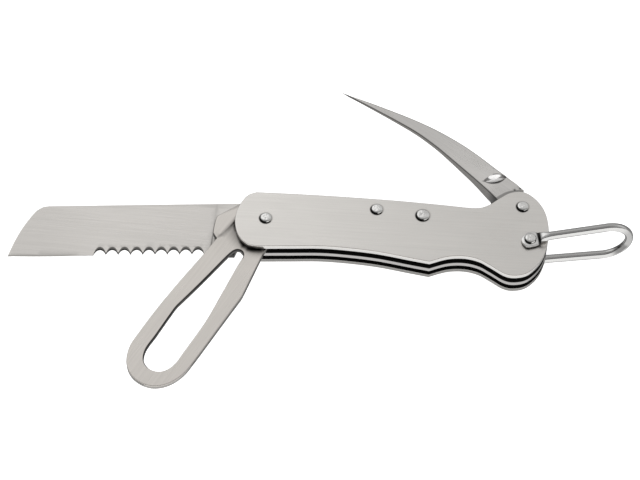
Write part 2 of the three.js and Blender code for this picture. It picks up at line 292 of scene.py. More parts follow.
def key_slot():
    narrow_side = [(14.5, -1), (15, -2.2), (16.8, -3.1), (21.5, -3.75), (33, -5.1), (44.6, -6.75)]
    round_the_loop = [
        (46.2, -6.8), (51, -6.6), (58, -6.25), (64.3, -6), (68.4, -4.1), (70, -0.5), (68.7, 3.2),
        (64.5, 5.2), (58, 5.2), (45, 4.8), (33, 3.3), (20.8, 1.7), (16.5, 1.2), (14.9, 0.2), (14.5, -1),
    ]  # fmt: skip
    return loop(curve(narrow_side), curve(round_the_loop))


SPIKE_LENGTH = 81.8
SPIKE_TANG = 6.3
SPIKE_KICK = 8.4
SPIKE_CONVEX = [
    (8, -7.35), (17.4, -8.25), (25, -9.1), (34, -9.5), (44, -8.85), (53.5, -7.3),
    (62.5, -5.2), (71.5, -2.85), (79.5, -0.5), (SPIKE_LENGTH, 0),
]  # fmt: skip
SPIKE_CONCAVE = [
    (79.5, -0.1), (70, -1.25), (60, -2.3), (50, -3), (41, -2.7), (33, -1.75), (21.3, -0.05),
    (15, 1.15), (9.3, 2.2),
]  # fmt: skip


def spike_outline():
    """The spike about its pivot, pointing along +X, with its convex side towards -Y."""
    kick_angle = -55.7
    kick = arc((0, 0), SPIKE_KICK, kick_angle, kick_angle, 1)
    tang = arc((0, 0), SPIKE_TANG, 30, 360 + kick_angle, 60)
    return loop(kick[:1], curve(SPIKE_CONVEX), curve(SPIKE_CONCAVE), tang)


# ---------------------------------------------------------------- meshes

ON_RIM = 1e-4
THINNEST = 0.04  # a plate's least thickness where its faces would meet
DISTANCE_BATCH = 500  # points measured at once, to save memory


def segments(loops):
    starts = np.vstack(loops)
    ends = np.vstack([np.roll(points, -1, axis=0) for points in loops])
    return starts, ends


def rim_distance(points, loops):
    """How far each point is from the nearest outline."""
    starts, ends = segments(loops)
    along = ends - starts
    length2 = (along**2).sum(1)
    result = np.empty(len(points))
    for first in range(0, len(points), DISTANCE_BATCH):
        batch = slice(first, first + DISTANCE_BATCH)
        rel = points[batch, None, :] - starts[None]
        t = np.clip((rel * along[None]).sum(2) / length2, 0, 1)
        gap = rel - t[:, :, None] * along[None]
        result[batch] = np.sqrt((gap**2).sum(2)).min(1)
    return result


def gap_to(outline, x, y):
    """How far points are from one outline."""
    return rim_distance(np.column_stack([x, y]), [outline])


def within(points, loops):
    """Which points lie inside the first loop and outside its holes."""
    starts, ends = segments(loops)
    x, y = points[:, 0:1], points[:, 1:2]
    crosses = (starts[:, 1] > y) != (ends[:, 1] > y)
    rise = np.where(ends[:, 1] == starts[:, 1], 1, ends[:, 1] - starts[:, 1])
    at = starts[:, 0] + (y - starts[:, 1]) / rise * (ends[:, 0] - starts[:, 0])
    return (crosses & (x < at)).sum(1) % 2 == 1


def area(points):
    x, y = points[:, 0], points[:, 1]
    return ((x * np.roll(y, -1)) - (np.roll(x, -1) * y)).sum() / 2


def inset(points, distance, hole=False):
    """A closed outline moved into the material by a distance, with mitred corners."""
    if (area(points) < 0) != hole:
        points = points[::-1]
    sharpest_miter = 0.35
    edge = np.roll(points, -1, axis=0) - points
    normal = np.column_stack([-edge[:, 1], edge[:, 0]]) / np.linalg.norm(edge, axis=1)[:, None]
    before = np.roll(normal, 1, axis=0)
    miter = (normal + before) / np.maximum(1 + (normal * before).sum(1), sharpest_miter)[:, None]
    return points + distance * miter


def round_over(distance, radius):
    """How much lower a rounded edge is than its face, at a distance from the rim."""
    inner = np.clip(1 - distance / np.maximum(radius, 1e-6), 0, 1)
    return radius * (1 - np.sqrt(np.maximum(1 - inner**2, 0)))


def edge_rings(radius, steps=4):
    """The insets that a rounded edge needs, evenly turned, and one more on the flat."""
    rounds = [radius * (1 - math.cos(math.pi / 2 * k / steps)) for k in range(1, steps + 1)]
    return [*rounds, radius * 1.25 + 0.03]


def smooth_between_creases(mesh, sharp_degrees):
    """Smooth shading, with the edges that turn more than an angle kept sharp."""
    bm = bmesh.new()
    bm.from_mesh(mesh)
    bmesh.ops.delete(bm, geom=[v for v in bm.verts if not v.link_faces], context="VERTS")
    bmesh.ops.recalc_face_normals(bm, faces=bm.faces)
    for face in bm.faces:
        face.smooth = True
    for edge in bm.edges:
        edge.smooth = edge.calc_face_angle(0) < math.radians(sharp_degrees)
    bm.to_mesh(mesh)
    bm.free()


def add_object(name, data):
    made = bpy.data.objects.new(name, data)
    bpy.context.scene.collection.objects.link(made)
    return made


def mark_points(mesh, name, values):
    """Gives each point a number that a material can read."""
    mesh.attributes.new(name, "FLOAT", "POINT").data.foreach_set("value", values)


def new_piece(name, vertices, faces, rim, sharp_degrees):
    """An object from points in millimetres. rim is each point's distance from the piece's rim."""
    mesh = bpy.data.meshes.new(name)
    mesh.from_pydata((np.array(vertices) * MM).tolist(), [], faces)
    mark_points(mesh, "rim", rim)
    smooth_between_creases(mesh, sharp_degrees)
    return add_object(name, mesh)


def plan(loops, rings, features, grid):
    """The points and edges that a plate's faces are made from: rims, their insets, features and a grid."""
    points = []
    edges = []

    def add(path, closed):
        first = len(points)
        points.extend(Vector(p) for p in path)
        count = len(path)
        edges.extend((first + i, first + (i + 1) % count) for i in range(count if closed else count - 1))

    for index, outline in enumerate(loops):
        add(outline, True)
        for distance in rings:
            add(inset(outline, distance, index > 0), True)
    for path in features:
        add(path, False)
    low, high = loops[0].min(0), loops[0].max(0)
    spots = np.array(
        [
            (x + (row % 2) * grid / 2, y)
            for row, y in enumerate(np.arange(low[1], high[1], grid))
            for x in np.arange(low[0], high[0], grid)
        ]
    )
    clear_of_rim = max([*rings, 0.2]) + grid / 3
    spots = spots[within(spots, loops) & (rim_distance(spots, loops) > clear_of_rim)]
    points.extend(Vector(p) for p in spots)
    return points, edges


def triangulate(points, edges, loops):
    """Points and triangles over the material, every triangle turning the same way."""
    flat, _, faces, *_ = delaunay_2d_cdt(points, edges, [], 0, 1e-5)
    flat = np.array([tuple(p) for p in flat])
    faces = np.array([tuple(f) for f in faces])
    faces = faces[within(flat[faces].mean(1), loops)]
    turn = np.cross(flat[faces[:, 1]] - flat[faces[:, 0]], flat[faces[:, 2]] - flat[faces[:, 0]])
    faces[turn < 0] = faces[turn < 0][:, ::-1]
    return flat, faces


def rim_edges(faces):
    """The edges that only one triangle has, in its direction."""
    directed = {(int(f[i]), int(f[(i + 1) % 3])) for f in faces for i in range(3)}
    return sorted(edge for edge in directed if edge[::-1] not in directed)


def relief(name, loops, front, back, rings=(), features=(), grid=2.0, sharp_degrees=38, wall_rows=()):
    """A closed solid over an outline with holes. front and back give each surface's height from x, y
    and the distance to the rim. rings are the insets where a surface turns, features are lines on it.
    wall_rows are the shares of a wall's height, from the front, at which it has extra points.
    The walls have the piece's second material."""
    flat, faces = triangulate(*plan(loops, rings, features, grid), loops)
    distance = rim_distance(flat, loops)
    distance[distance < ON_RIM] = 0
    bottom = back(flat[:, 0], flat[:, 1], distance)
    top = np.maximum(front(flat[:, 0], flat[:, 1], distance), bottom + THINNEST)
    count = len(flat)
    vertices = np.vstack([np.column_stack([flat, top]), np.column_stack([flat, bottom])])

    rim = rim_edges(faces)
    corners = np.array([start for start, _ in rim])
    levels = [dict(zip(corners, corners))]
    for share in wall_rows:
        levels.append({corner: len(vertices) + k for k, corner in enumerate(corners)})
        row = vertices[corners] * (1 - share) + vertices[corners + count] * share
        vertices = np.vstack([vertices, row])
    levels.append(dict(zip(corners, corners + count)))
    walls = [
        tuple(int(v) for v in (upper[a], lower[a], lower[b], upper[b]))
        for upper, lower in zip(levels, levels[1:])
        for a, b in rim
    ]
    caps = [tuple(map(int, f)) for f in faces] + [tuple(int(v) + count for v in f[::-1]) for f in faces]

    depth = np.concatenate([distance, distance, np.zeros(len(vertices) - 2 * count)])
    piece = new_piece(name, vertices, caps + walls, depth, sharp_degrees)
    for face in piece.data.polygons[len(caps) :]:
        face.material_index = 1
    return piece


def skin(name, rings, sharp_degrees=38):
    """A closed solid through rings that all have the same number of points, capped at both ends."""
    sides = len(rings[0])
    last = (len(rings) - 1) * sides
    faces = []
    for start in range(0, last, sides):
        for i in range(sides):
            j = (i + 1) % sides
            faces.append((start + i, start + j, start + sides + j, start + sides + i))
    faces.append(tuple(range(sides))[::-1])
    faces.append(tuple(range(last, last + sides)))
    far_from_rim = np.full(last + sides, 5.0)
    return new_piece(name, np.vstack(rings), faces, far_from_rim, sharp_degrees)


def drill(piece, radius, half_length, sharp_degrees):
    """Cuts a round hole along Z through the piece, at its own origin."""
    ring = circle((0, 0), radius, 48)
    ends = [np.column_stack([ring, np.full(len(ring), z)]) for z in (-half_length, half_length)]
    bit = skin("drill_bit", ends)
    cut = piece.modifiers.new("hole", "BOOLEAN")
    cut.operation = "DIFFERENCE"
    cut.solver = "EXACT"
    cut.object = bit
    bpy.context.view_layer.update()
    drilled = piece.evaluated_get(bpy.context.evaluated_depsgraph_get())
    piece.data = bpy.data.meshes.new_from_object(drilled)
    piece.modifiers.clear()
    bpy.data.objects.remove(bit)
    smooth_between_creases(piece.data, sharp_degrees)


# ---------------------------------------------------------------- materials


class Nodes:
    """A node tree, made and joined by short calls."""

    def __init__(self, tree):
        self.tree = tree

    def node(self, kind, **settings):
        made = self.tree.nodes.new(kind)
        for key, value in settings.items():
            setattr(made, key, value)
        return made

    def join(self, source, target):
        self.tree.links.new(source, target)

    def remap(self, value, low, high, to_low, to_high):
        mapped = self.node("ShaderNodeMapRange")
        for key, number in zip(("From Min", "From Max", "To Min", "To Max"), (low, high, to_low, to_high)):
            mapped.inputs[key].default_value = number
        self.join(value, mapped.inputs["Value"])
        return mapped.outputs["Result"]

    def math(self, operation, a, b):
        made = self.node("ShaderNodeMath", operation=operation)
        for socket, value in zip(made.inputs, (a, b)):
            if isinstance(value, (int, float)):
                socket.default_value = value
            else:
                self.join(value, socket)
        return made.outputs["Value"]

    def axis(self, vector, name):
        split = self.node("ShaderNodeSeparateXYZ")
        self.join(vector, split.inputs["Vector"])
        return split.outputs[name]


class Shader(Nodes):
    """A new material's nodes."""

    def __init__(self, name):
        self.material = bpy.data.materials.new(name)
        self.material.use_nodes = True
        super().__init__(self.material.node_tree)
        self.surface = self.tree.nodes["Principled BSDF"]
        self.place = self.node("ShaderNodeTexCoord").outputs["Object"]

    def grain(self, degrees, length, width, detail=3.0, shift=0.0):
        """Noise whose cells are length by width millimetres, lying along an angle in the handle's plane."""
        mapping = self.node("ShaderNodeMapping", vector_type="TEXTURE")
        mapping.inputs["Location"].default_value = (shift, shift, shift)
        mapping.inputs["Rotation"].default_value = (0, 0, math.radians(degrees))
        mapping.inputs["Scale"].default_value = (length * MM, width * MM, width * MM)
        self.join(self.place, mapping.inputs["Vector"])
        texture = self.node("ShaderNodeTexNoise")
        texture.inputs["Scale"].default_value = 1.0
        texture.inputs["Detail"].default_value = detail
        self.join(mapping.outputs["Vector"], texture.inputs["Vector"])
        return texture.outputs["Fac"]

    def between(self, grain, low, high):
        """A grain's usual range of values, stretched to run from low to high."""
        return self.remap(grain, 0.3, 0.7, low, high)

    def mix(self, factor, a, b):
        """Colour a where the factor is 0, colour b where it is 1."""
        made = self.node("ShaderNodeMix", data_type="RGBA")
        self.join(factor, made.inputs["Factor"])
        for socket, value in ((made.inputs[6], a), (made.inputs[7], b)):
            if isinstance(value, tuple):
                socket.default_value = (*value, 1)
            else:
                self.join(value, socket)
        return made.outputs[2]

    def attribute(self, name):
        return self.node("ShaderNodeAttribute", attribute_name=name).outputs["Fac"]

    def finish(self, color, roughness, height, depth):
        """Metal of a colour and roughness, with bumps that are depth millimetres high."""
        bump = self.node("ShaderNodeBump")
        bump.inputs["Strength"].default_value = 0.6
        bump.inputs["Distance"].default_value = depth * MM
        self.join(height, bump.inputs["Height"])
        self.join(bump.outputs["Normal"], self.surface.inputs["Normal"])
        self.surface.inputs["Metallic"].default_value = 1.0
        self.join(color, self.surface.inputs["Base Color"])
        self.join(roughness, self.surface.inputs["Roughness"])
        return self.material


def shade(color, factor):
    return tuple(c * factor for c in color)


# Painted shade: the near-black colour of steel inside a slot, where shade falls
PAINTED_SLOT_SHADE = (0.035, 0.034, 0.033)


def steel(name, color, roughness, degrees=0, brushing=1.0, mottle=1.0, pits=0.0, depth=0.006, slot_shade_side=None):
    """Stainless steel: brushed along an angle, with cloudy tone, rubbed rims, stray scratches and small pits.
    Its slot-side argument is 1 or 0 and a height: above that height for 1 and below it for 0, except on its
    rim, the steel is rougher and painted near-black, a painted shade for the inside of a slot.
    The point attribute rim says where it is rubbed. The second point attribute says where the colour is
    darkened almost to black: mostly painted shade, painted shadow and dark reflections, with a little dirt."""
    s = Shader(name)
    fine = s.grain(degrees, length=9, width=0.09, detail=2)
    streaks = s.grain(degrees, length=34, width=0.42, shift=0.3)
    clouds = s.grain(degrees, length=16, width=7, shift=0.7)
    scratch = s.remap(s.grain(degrees + 17, length=7, width=0.07, detail=1, shift=0.5), 0.7, 0.76, 0, 1)

    tone = s.math("ADD", s.math("MULTIPLY", streaks, 0.55), s.math("MULTIPLY", clouds, 0.45))
    spread = 0.025 * brushing + 0.03 * mottle
    tinted = s.mix(s.remap(tone, 0.32, 0.68, 0, 1), shade(color, 1 - spread), shade(color, 1 + spread))
    rubbed = s.math("MULTIPLY", s.remap(s.attribute("rim"), 0.05, 0.55, 1, 0), s.between(clouds, 0.35, 1.0))
    bright = shade(color, 1.12)
    tinted = s.mix(s.math("MULTIPLY", rubbed, 0.5), tinted, bright)
    tinted = s.mix(s.math("MULTIPLY", scratch, 0.25 * brushing), tinted, bright)
    # Painted shade, painted shadow and dark reflections, with a little dirt: the second point attribute
    # darkens the colour almost to black
    shade_and_grime = s.math("MULTIPLY", s.attribute("shade_and_grime"), s.between(clouds, 0.96, 1.12))
    tinted = s.mix(shade_and_grime, tinted, shade(color, 0.02))

    rough = s.remap(fine, 0.25, 0.75, roughness - 0.05, roughness + 0.05)
    rough = s.math("ADD", rough, s.between(clouds, -0.03, 0.03))
    rough = s.math("SUBTRACT", rough, s.math("MULTIPLY", rubbed, 0.06))
    rough = s.math("ADD", rough, s.math("MULTIPLY", shade_and_grime, 0.12))

    brush_lines = s.math("MULTIPLY", fine, 0.5 * brushing)
    height = s.math("ADD", brush_lines, s.math("MULTIPLY", streaks, 0.25 * brushing))
    height = s.math("SUBTRACT", height, s.math("MULTIPLY", scratch, 0.5))
    if pits:
        holes = s.remap(s.grain(0, length=0.55, width=0.55, detail=1, shift=0.9), 0.74, 0.8, 0, 1)
        zone = s.remap(s.grain(0, length=9, width=9, detail=1, shift=0.2), 0.5, 0.62, 0, pits)
        holes = s.math("MULTIPLY", holes, zone)
        tinted = s.mix(holes, tinted, shade(color, 0.35))
        height = s.math("SUBTRACT", height, s.math("MULTIPLY", holes, 3.0))
    # Painted shade inside a slot: near-black and rougher away from the rim
    if slot_shade_side:
        side, level = slot_shade_side
        reach = s.remap(s.axis(s.place, "Z"), (level - 0.02) * MM, (level + 0.02) * MM, 1 - side, side)
        deep = s.math("MULTIPLY", reach, s.remap(s.attribute("rim"), 0.0, 0.06, 0, 1))
        tinted = s.mix(deep, tinted, PAINTED_SLOT_SHADE)
        rough = s.math("ADD", rough, s.math("MULTIPLY", deep, 0.25))
    return s.finish(tinted, rough, height, depth)


def paint_shade_and_grime(piece, amount):
    """Darkens a piece by an amount from 0 to 1 that depends on where a point is, in millimetres: mostly
    painted shade, painted shadow and dark reflections, with a little dirt.
    """
    mesh = piece.data
    spots = np.empty(len(mesh.vertices) * 3)
    mesh.vertices.foreach_get("co", spots)
    x, y, z = spots.reshape(-1, 3).T / MM
    mark_points(mesh, "shade_and_grime", np.clip(amount(x, y, z), 0, 1))


def dress(piece, body, slot, node, *materials):
    """Gives a piece its materials and its body, and hides the CAD node it stands for. slot is not used."""
    for material in materials:
        piece.data.materials.append(material)
    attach(piece, body)
    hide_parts(node)


stamped_edge = steel("stamped_edge", (0.43, 0.42, 0.41), 0.34, brushing=0.8)
# Painted light and shade: the front scale's edge steel is a lighter copy of the stamped edge, and the rear
# scale's a darker one, for how light falls on each
front_edge_painted_light = steel("front_edge_painted_light", (0.62, 0.61, 0.595), 0.28, brushing=0.8)
rear_edge_painted_shade = steel("rear_edge_painted_shade", (0.25, 0.245, 0.235), 0.34, brushing=0.8, mottle=1.2)
spring_face = steel("spring_face", (0.2, 0.195, 0.19), 0.5, mottle=1.2)
# The liner's faces are painted near-black away from their rim: painted shade inside the slots
liner_face = steel("liner_face", (0.42, 0.41, 0.4), 0.42, mottle=1.2, slot_shade_side=(1, 0))
polished = steel(
    "polished_steel", (0.66, 0.655, 0.645), 0.13, BAIL_ANGLE, brushing=0.35, mottle=0.8, depth=0.003
)
peened = steel(
    "peened_steel", (0.68, 0.675, 0.66), 0.2, 30, brushing=0.3, mottle=4.0, pits=0.8, depth=0.008
)

# ---------------------------------------------------------------- handle

OUTER_ROUND = 0.32
MOUTH_X = -46  # to the left of this, the slots are open between the scales
COLLAR_RADIUS = 2.6
SATIN = (0.68, 0.66, 0.63)


def make_scale(name, is_front):
    """A scale: rounded outer rim, smaller break on the slot side, painted shade in the corner round each
    rivet, darkest towards the lower left.
    """
    low, high = layer(name)
    if is_front:
        inner_round, tilt, slot_side, edge = 0.28, 1.5, (0, high - 0.6), front_edge_painted_light
        front_round, back_round = OUTER_ROUND, inner_round
    else:
        inner_round, tilt, slot_side, edge = 0.1, -1.5, (1, low + 0.6), rear_edge_painted_shade
        front_round, back_round = inner_round, OUTER_ROUND
    seats = [(pin, head_radius(rivet)) for pin, rivet in zip(PINS, RIVETS)]
    piece = relief(
        name + "_plate",
        [SCALE_RIM, *(circle(pin, TIGHT_HOLE) for pin in PINS)],
        lambda x, y, d: high - round_over(d, front_round),
        lambda x, y, d: low + round_over(d, back_round),
        rings=edge_rings(OUTER_ROUND) + [inner_round],
        features=[circle(pin, seat + out) for pin, seat in seats for out in (-0.2, 0, 0.2, 0.38, 0.55, 0.8)],
        grid=4,
    )

    def shade_and_grime(x, y, z):
        # Painted shade: on the front scale, the slot side is darkened where the slots open between the scales
        in_mouth = 0.9 * fade(z, low + 0.1, high - 0.5) * (x < MOUTH_X) * is_front
        marks = [in_mouth]
        for pin, seat in seats:
            out = np.hypot(x - pin[0], y - pin[1]) - seat
            side = lower_left(x - pin[0], y - pin[1])
            # Painted shade round each rivet's head: a dark ring, wider and darker towards the lower left, and
            # a faint halo
            marks.append((0.3 + 0.7 * smooth(side, 0.3, 0.5)) * fade(out, 0.2, 0.28 + 0.27 * side))
            marks.append(0.15 * fade(out, 0.1, 0.8))
        return np.max(marks, axis=0)

    paint_shade_and_grime(piece, shade_and_grime)
    face = steel(name + "_satin", SATIN, 0.33, tilt, brushing=0.7, depth=0.004, slot_shade_side=slot_side)
    dress(piece, "handle", "scale_steel", name, face, edge)


def plain_plate(name, suffix, loops, broken, grid):
    """A plate as thick as its CAD node, with its edges just broken."""
    low, high = layer(name)
    return relief(
        name + suffix,
        loops,
        lambda x, y, d: high - round_over(d, broken),
        lambda x, y, d: low + round_over(d, broken),
        rings=edge_rings(broken, 2),
        grid=grid,
    )


def make_inner_plate(name, outline, pins, slot, material):
    """The liner or a spring."""
    loops = [outline, *(circle(pin, TIGHT_HOLE) for pin in pins)]
    piece = plain_plate(name, "_plate", loops, broken=0.12, grid=5)
    dress(piece, "handle", slot, name, material, stamped_edge)


def make_spacer(name):
    loops = [circle(BAIL_PIVOT, COLLAR_RADIUS), circle(BAIL_PIVOT, TIGHT_HOLE)]
    piece = plain_plate(name, "_collar", loops, broken=0.1, grid=1)
    dress(piece, "handle", "spring_steel", name, spring_face, stamped_edge)


HEAD_HEIGHT = 0.9
SHANK_RADIUS = 1.25
DENT_DEPTH = 0.22
DENTS_PER_MM = 1.1


def head_profile(radius):
    """Radii of a rivet's head from its crown to its shank, and how far below the crown they are."""
    dome = [
        (radius * math.sin(t), HEAD_HEIGHT * 0.75 * (1 - math.sqrt(1 - math.sin(t) ** 4)))
        for t in np.linspace(0.01, 1.45, 16)
    ]
    rim = [
        (radius, HEAD_HEIGHT * 0.72),
        (radius - 0.04, HEAD_HEIGHT * 0.82),
        (radius - 0.22, HEAD_HEIGHT),
        (SHANK_RADIUS, HEAD_HEIGHT),
    ]
    return dome + rim


def hammered(x, y, side):
    """How deep the hammer's dents are at points of a head, from 0 to 1. side is 1 in front and -1 behind."""
    spots = [Vector((a * DENTS_PER_MM, b * DENTS_PER_MM, side * 3.3)) for a, b in zip(x, y)]
    return np.array([abs(noise.noise(spot)) for spot in spots])


def make_rivet(name):
    """A rivet with two domed heads, each undercut at its rim and a little uneven from the hammer."""
    low, high = layer(name)
    middle = center(name)
    radius = head_radius(name)
    angles = np.linspace(0, 2 * math.pi, 56, endpoint=False)
    head = head_profile(radius)
    rings = []
    for crown, side, profile in ((low, -1, head), (high, 1, head[::-1])):
        for r, down in profile:
            x = middle[0] + r * np.cos(angles)
            y = middle[1] + r * np.sin(angles)
            dent = DENT_DEPTH * max(0, 1 - r / radius) * hammered(x, y, side)
            rings.append(np.column_stack([x, y, crown - side * (down + dent)]))
    piece = skin(name + "_head", rings, 50)

    # Painted shade: the head's rim is darkened towards the lower left, below the undercut
    def undercut(x, y, z):
        a, b = x - middle[0], y - middle[1]
        return smooth(lower_left(a, b), 0.7, 0.82) * smooth(np.hypot(a, b) / radius, 0.84, 0.92)

    paint_shade_and_grime(piece, undercut)
    dress(piece, "handle", "rivet_steel", name, peened)


# ---------------------------------------------------------------- blade

PLUNGE_X = -18.1
PLUNGE_HALF_WIDTH = 0.5
SPINE_ROUND = 0.14
EDGE_HALF = 0.12
HONED_WIDTH = 0.55
SCALLOP_EDGE_HALF = 0.03

edge_y = line_through([BLADE_POINT, (-69, -18.2), FIRST_TOOTH, LAST_TOOTH])


def spine_y(x):
    return SHOULDER[1] + (SPINE_END[1] - SHOULDER[1]) * (x - SHOULDER[0]) / (SPINE_END[0] - SHOULDER[0])


def bevel_share(x, y):
    """1 at a scallop's edge, 0 at the upper end of its crescent bevel and beyond."""
    share = np.zeros_like(x)
    for middle in SCALLOPS:
        p, q = unturned(x, y, TOOTH_SLOPE, middle)
        end, edge = scallop_height(p, 0), scallop_height(p, 1)
        own = np.clip((end - q) / np.maximum(end - edge, 1e-3), 0, 1)
        share = np.maximum(share, own * (np.abs(p) < SCALLOP_RADIUS) * (q > -0.5))
    return share


def rounded_away(x, y, d):
    """The spine's roundover, which dies out towards the point and the cutting edge."""
    return round_over(d, SPINE_ROUND) * smooth(y, -8.5, -6.5) * smooth(x, -84.5, -80.5)


def honed_away(x, y):
    """The narrow last bevel of the plain edge."""
    share = np.clip(1 - (y - edge_y(x)) / HONED_WIDTH, 0, 1) * (x < FIRST_TOOTH[0] - 1)
    return share * EDGE_HALF * 0.9


def make_blade():
    """Flat ground from the spine to the edge, with the scallops cut by a chisel bevel from the front."""
    low, high = layer("blade")
    middle, half = (low + high) / 2, (high - low) / 2

    def ground_half(x, y):
        down = np.clip((spine_y(x) - y) / (spine_y(x) - edge_y(x)), 0, 1)
        thin = half + (EDGE_HALF - half) * down
        plunge = smooth(x, PLUNGE_X - PLUNGE_HALF_WIDTH, PLUNGE_X + PLUNGE_HALF_WIDTH)
        return thin + (half - thin) * plunge

    def front(x, y, d):
        z = middle + ground_half(x, y) - rounded_away(x, y, d)
        return z - (z - middle - SCALLOP_EDGE_HALF) * bevel_share(x, y) - honed_away(x, y)

    def back(x, y, d):
        z = middle - ground_half(x, y) + rounded_away(x, y, d) + honed_away(x, y)
        return z + (middle - SCALLOP_EDGE_HALF - z) * smooth(bevel_share(x, y), 0.6, 1)

    plunge_xs = np.linspace(PLUNGE_X - PLUNGE_HALF_WIDTH, PLUNGE_X + PLUNGE_HALF_WIDTH, 5)
    plunge_lines = [[(x, y) for y in np.linspace(-11.6, 11, 12)] for x in plunge_xs]
    bevel_lines = [scallop_line(middle, share) for middle in SCALLOPS for share in (0.7, 0.3, 0.05, 0)]
    honed_line = [(x, edge_y(x) + HONED_WIDTH) for x in np.linspace(-86, -60.5, 20)]
    piece = relief(
        "blade_leaf",
        [blade_outline(), circle((0, 0), RUNNING_HOLE)],
        front,
        back,
        rings=edge_rings(SPINE_ROUND, 3),
        features=[*plunge_lines, *bevel_lines, honed_line],
        grid=2.2,
        sharp_degrees=14,
    )

    def shade_and_grime(x, y, z):
        share = bevel_share(x, y)
        # Painted shade and dark reflections: the scallops' bevels and the tooth tips are darkened almost to
        # black
        bevels = np.where(share > 0.02, 0.6 + 0.38 * smooth(share, 0.45, 0.85), 0)
        to_tip = np.min([np.hypot(x - tip[0], y - tip[1]) for tip in TOOTH_TIPS], axis=0)
        tips = 0.95 * fade(to_tip, 0.7, 1.2)
        plunge = 0.22 * np.exp(-(((x - PLUNGE_X) / 0.7) ** 2))
        # Painted shade on the kick, under the handle's belly
        kick = 0.9 * (x > -18.4) * (x < -8.5) * (y < -11.2)
        # Painted shade: the blade is a little darker towards its point
        faint_darkening = 0.08 * fade(x, -82, -48)
        return np.max([faint_darkening, bevels, tips, plunge, kick], axis=0)

    paint_shade_and_grime(piece, shade_and_grime)
    piece.data.transform(move(*BLADE_PIVOT))
    satin = steel("blade_satin", (0.57, 0.55, 0.525), 0.3, brushing=0.5, mottle=2.2, depth=0.002)
    dress(piece, "blade", "blade_steel", "blade", satin, stamped_edge)


# ---------------------------------------------------------------- key

KEY_ROUND = 0.3
KEY_RIDGE = curve([(2, -9.2), (6.6, -9.6), (9.1, -9.8), (10.8, -10), (12.6, -10.3), (15.2, -11.6)])
WARM = (0.6, 0.57, 0.535)
ON_WALL = 0.01  # a point this close to an outline is on its wall

ridge_height = line_through(KEY_RIDGE)


def from_key(points):
    """Points of the key's own frame, on the handle."""
    return turned(points, KEY_ANGLE, BLADE_PIVOT)


def in_key(x, y):
    """Where handle points lie in the key's own frame."""
    return unturned(x, y, KEY_ANGLE, BLADE_PIVOT)


def ground_off_key(x, y):
    """How far the key's front is below the nose: most round the tang, less in the loop."""
    a, b = in_key(x, y)
    lower = np.maximum(smooth(b - ridge_height(a), 0, 0.7), smooth(a, 12, 16))
    hollow = 0.42 * fade(np.hypot(a, b), 13, 23)
    return lower * (hollow + 0.18 * smooth(a, 12, 30) + 0.04 * smooth(a, 45, 62))


def make_key():
    """Full thickness at the nose, hollowed round the tang, and a little thinner than the nose in the loop."""
    low, high = layer("shackle_key")
    outline = from_key(key_outline())
    slot = from_key(key_slot())

    def front(x, y, d):
        return high - ground_off_key(x, y) - round_over(d, KEY_ROUND)

    def back(x, y, d):
        a, _ = in_key(x, y)
        return low + 0.12 * smooth(a, 20, 50) + round_over(d, KEY_ROUND * 0.8)

    ridge_lines = [from_key([(a, b + up) for a, b in KEY_RIDGE]) for up in (0, 0.35, 0.7)]
    piece = relief(
        "shackle_key_leaf",
        [outline, slot, circle(BLADE_PIVOT, RUNNING_HOLE)],
        front,
        back,
        rings=edge_rings(KEY_ROUND),
        features=ridge_lines,
        grid=1.3,
        wall_rows=(0.25, 0.42, 0.75),
    )

    def shade_and_grime(x, y, z):
        a, b = in_key(x, y)
        outer_gap, slot_gap = gap_to(outline, x, y), gap_to(slot, x, y)
        top, bottom = front(x, y, 0), back(x, y, 0)
        down = (top - z) / (top - bottom)
        mid_wall = (down > 0.3) & (down < 0.9)

        # Painted shade and shadow on the lowered part of the front: darker round the tang, and near-black
        # beside the front scale's rim
        recess = smooth(b - ridge_height(a), -0.1, 0.4) * (z > (low + high) / 2)
        hub_shade = 0.6 * fade(np.hypot(a, b), 9.5, 17)
        scale_rim_shadow = 0.97 * fade(gap_to(SCALE_RIM, x, y), 0.3, 0.75)
        # Painted shade: near-black along the slot's rim on the face, and part way down its wall
        slot_rim = 0.94 * fade(slot_gap, 0.2, 0.42) * ((b < -1.2) | (a < 17))
        slot_rim = np.where((slot_gap < ON_WALL) & mid_wall, 0.72, slot_rim)
        # Painted shade along the nose's rim
        nose_rim = 0.7 * fade(outer_gap, 0.1, 0.3) * (a > 6) * (a < 15) * (b < -10.4)
        # Painted shade on the outer wall, darker at its top and bottom than in its middle
        wall = np.where(mid_wall, 0.6 * (a < 29), 0.96) * (a > 13) * ((a < 62) | (b < 1))
        # A faint even darkening
        faint_darkening = np.full_like(x, 0.05)
        hollow = recess * np.maximum(hub_shade, scale_rim_shadow)
        return np.max([faint_darkening, hollow, slot_rim, nose_rim, wall * (outer_gap < ON_WALL)], axis=0)

    paint_shade_and_grime(piece, shade_and_grime)
    satin = steel("key_satin", WARM, 0.31, KEY_ANGLE, brushing=0.5, mottle=1.8, pits=0.25, depth=0.002)
    # Painted shade: the key's walls get a darker copy of its steel
    edge = steel("key_edge_painted_shade", (0.34, 0.33, 0.315), 0.3, KEY_ANGLE, brushing=0.8, mottle=1.2)
    dress(piece, "key", "key_steel", "shackle_key", satin, edge)


# ---------------------------------------------------------------- spike

NICK_START = np.array([18.2, -0.9])
NICK_END = np.array([12.8, -7.7])
NICK_LENGTH = np.linalg.norm(NICK_END - NICK_START)
NICK_ALONG = (NICK_END - NICK_START) / NICK_LENGTH
NICK_ACROSS = np.array([-NICK_ALONG[1], NICK_ALONG[0]])
NICK_WIDTH = 3.15
NICK_TANG_SIDE = 1.3
NICK_DEPTH = 1.2
STEEP_SHARE = 0.12  # of the nick's width
SLOPING_SHARE = 0.34
